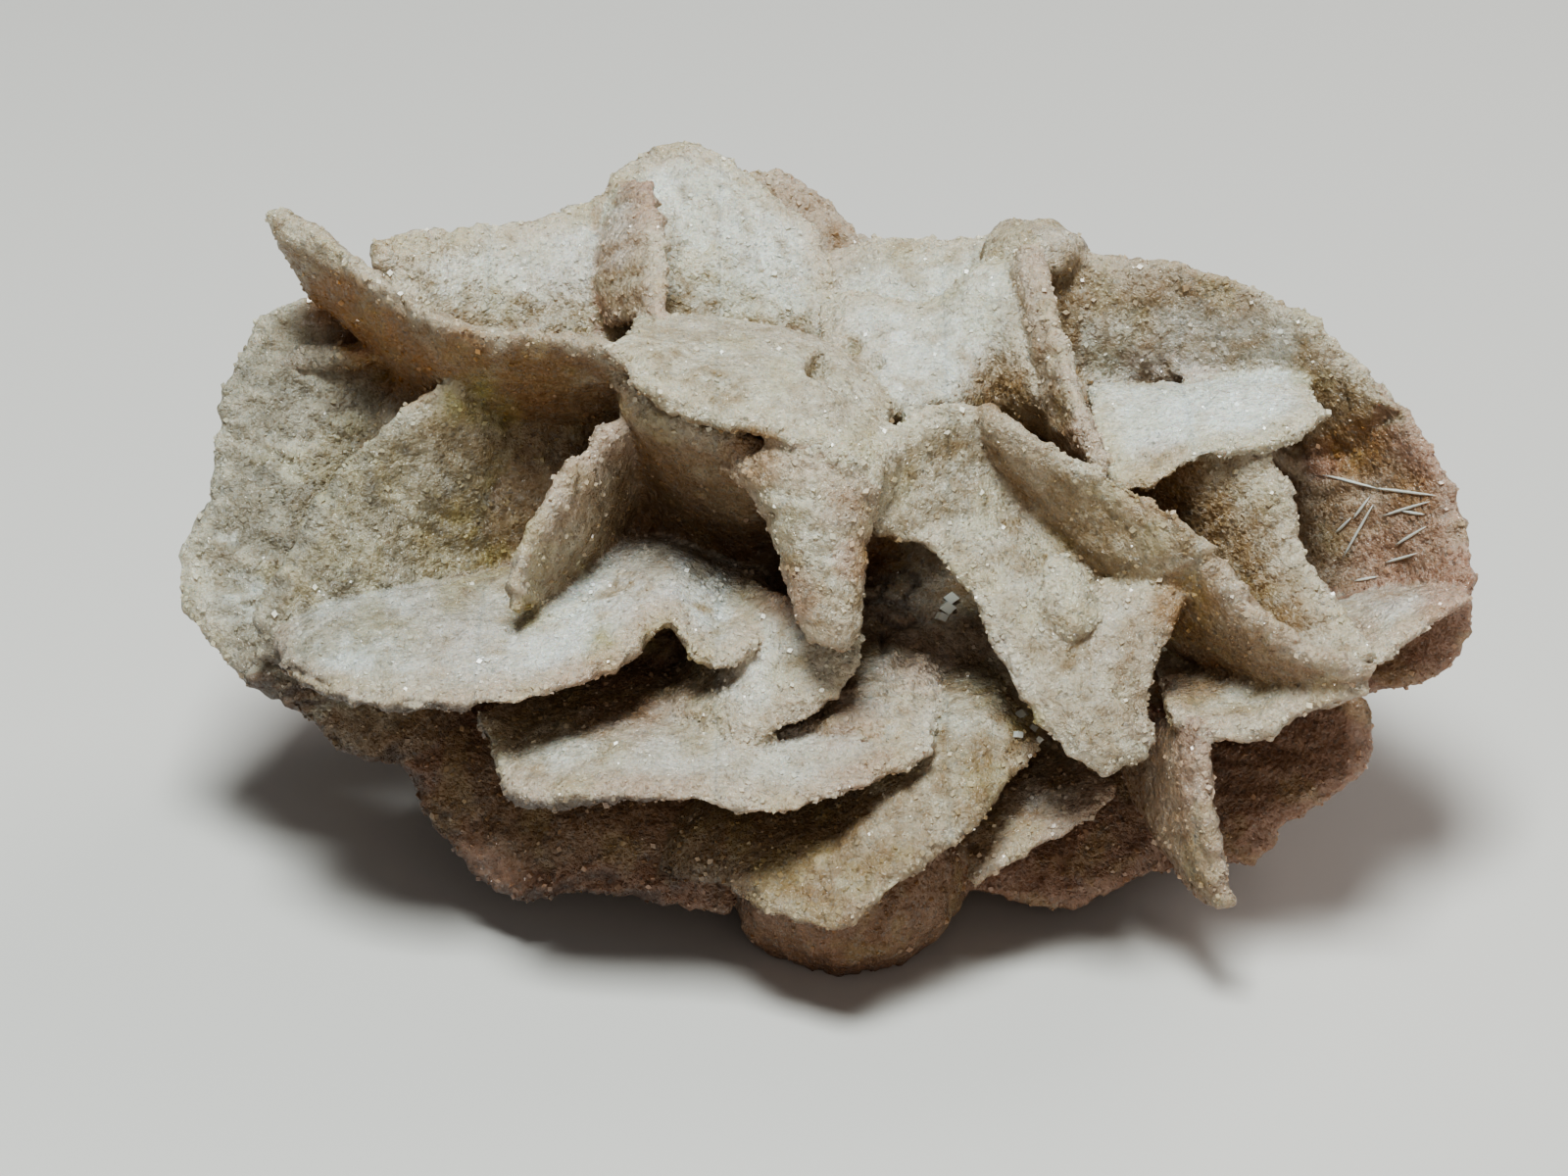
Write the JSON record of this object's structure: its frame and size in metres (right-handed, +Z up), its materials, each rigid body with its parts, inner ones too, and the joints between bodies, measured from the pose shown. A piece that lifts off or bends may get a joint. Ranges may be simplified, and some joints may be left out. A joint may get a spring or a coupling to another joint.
{
  "type": "calcite pseudomorph",
  "caption": "Natural mineral specimen: thin curved calcite blades grown together in an open rosette, crusted with sugary calcite grains, resting on a flat cut.",
  "frame": {"origin": "middle of the specimen's box, on the flat cut that it rests on", "axes": "+X along the longest extent, to the right as the pictured front is seen; -Y toward the pictured front; +Z up from the cut"},
  "size_m": [0.0838, 0.052, 0.0421],
  "materials": {
    "calcite": "sugary, slightly translucent, cream to beige, with brown and pink undersides"
  },
  "bodies": {
    "root": {"bladed_cluster": "calcite"}
  },
  "joints": []
}
